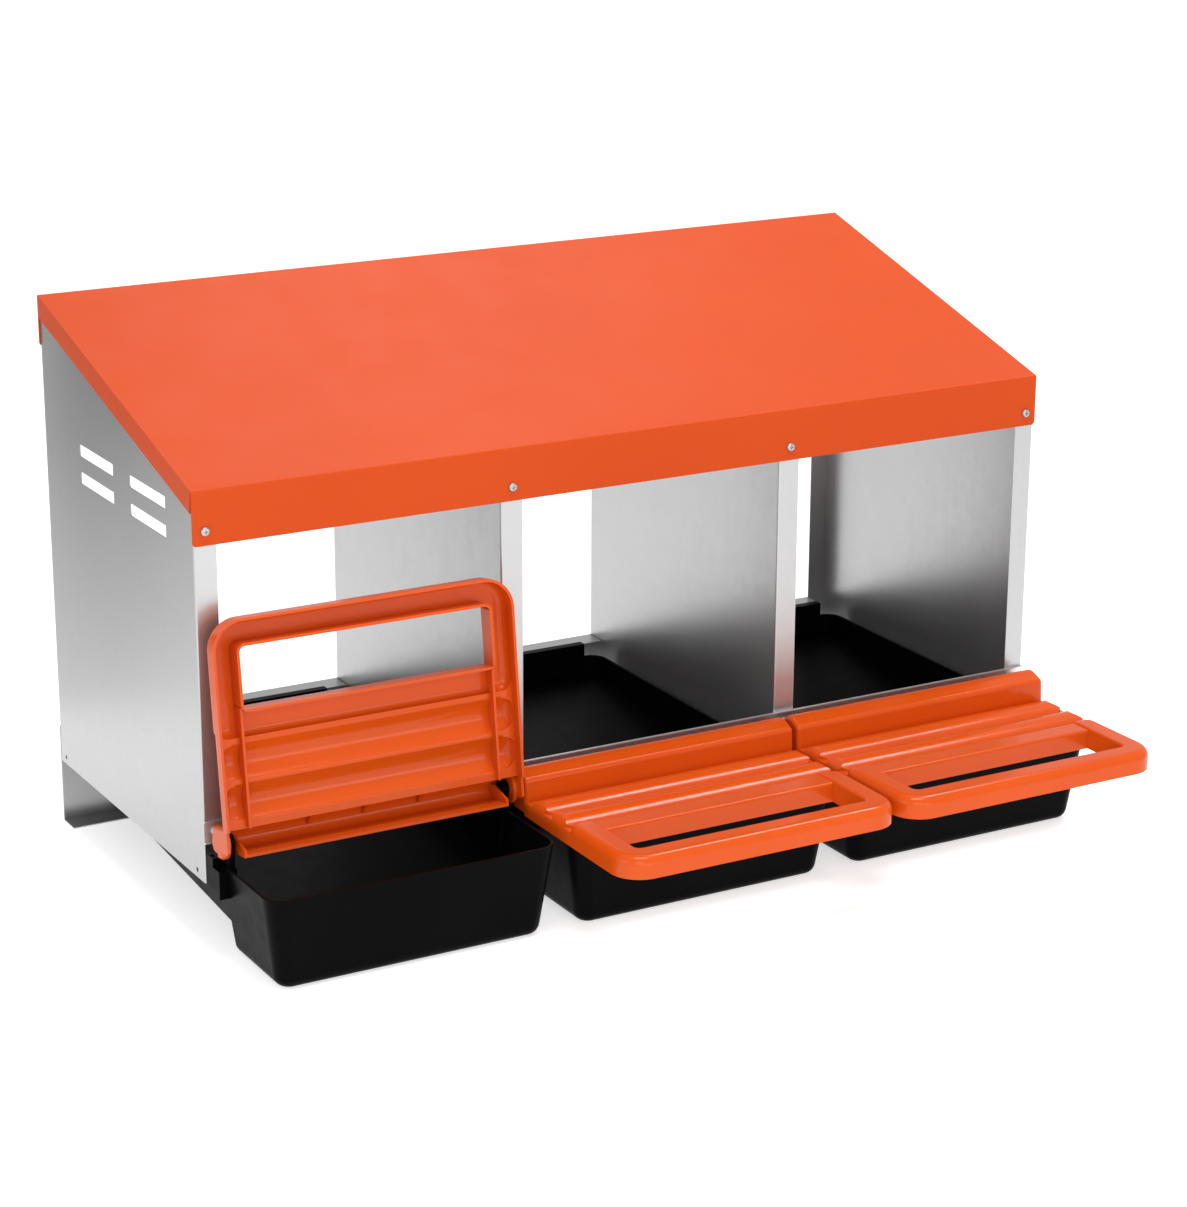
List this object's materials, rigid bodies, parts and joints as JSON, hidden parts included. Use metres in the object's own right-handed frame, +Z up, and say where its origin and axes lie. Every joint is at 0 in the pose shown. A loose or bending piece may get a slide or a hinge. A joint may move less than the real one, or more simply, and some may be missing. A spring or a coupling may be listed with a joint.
{
  "type": "nesting box",
  "caption": "Sheet metal nesting box for hens with a sloped roof, open back, sloped roll-away trays and hinged perch lids over the egg bins.",
  "frame": {"origin": "on the ground, in the middle of the overall width and depth", "axes": "+X to the right along the row of nests, +Y to the open back, +Z up; the egg bins face -Y"},
  "size_m": [0.8684, 0.5728, 0.5115],
  "materials": {
    "galvanised_steel": "galvanised sheet, satin",
    "roof_paint": "orange powder coat, satin",
    "tray_plastic": "black moulded plastic, satin",
    "lid_plastic": "orange moulded plastic, glossy",
    "fastener_steel": "zinc plated"
  },
  "bodies": {
    "nest_box": {"left_side_panel": "galvanised_steel", "right_side_panel": "galvanised_steel", "left_divider": "galvanised_steel", "right_divider": "galvanised_steel", "rear_sill": "galvanised_steel", "front_rail": "galvanised_steel", "roof": "roof_paint", "nest_tray_left": "tray_plastic", "nest_tray_centre": "tray_plastic", "nest_tray_right": "tray_plastic", "roof_front_screws": "fastener_steel", "roof_front_nuts": "fastener_steel", "roof_rear_screws": "fastener_steel", "roof_rear_nuts": "fastener_steel", "rail_screws": "fastener_steel", "rail_nuts": "fastener_steel", "sill_screws": "fastener_steel", "sill_nuts": "fastener_steel"},
    "left_lid": {"perch_lid_left": "lid_plastic"},
    "centre_lid": {"perch_lid_centre": "lid_plastic"},
    "right_lid": {"perch_lid_right": "lid_plastic"}
  },
  "joints": [
    {"name": "left_lid_hinge", "type": "hinge", "parent": "nest_box", "child": "left_lid", "pos_m": [-0.28867, -0.09135, 0.107], "axis": [-1, 0, 0], "range_deg": [-97, 0]},
    {"name": "centre_lid_hinge", "type": "hinge", "parent": "nest_box", "child": "centre_lid", "pos_m": [0, -0.09135, 0.107], "axis": [-1, 0, 0], "range_deg": [0, 97]},
    {"name": "right_lid_hinge", "type": "hinge", "parent": "nest_box", "child": "right_lid", "pos_m": [0.28867, -0.09135, 0.107], "axis": [-1, 0, 0], "range_deg": [0, 97]}
  ]
}
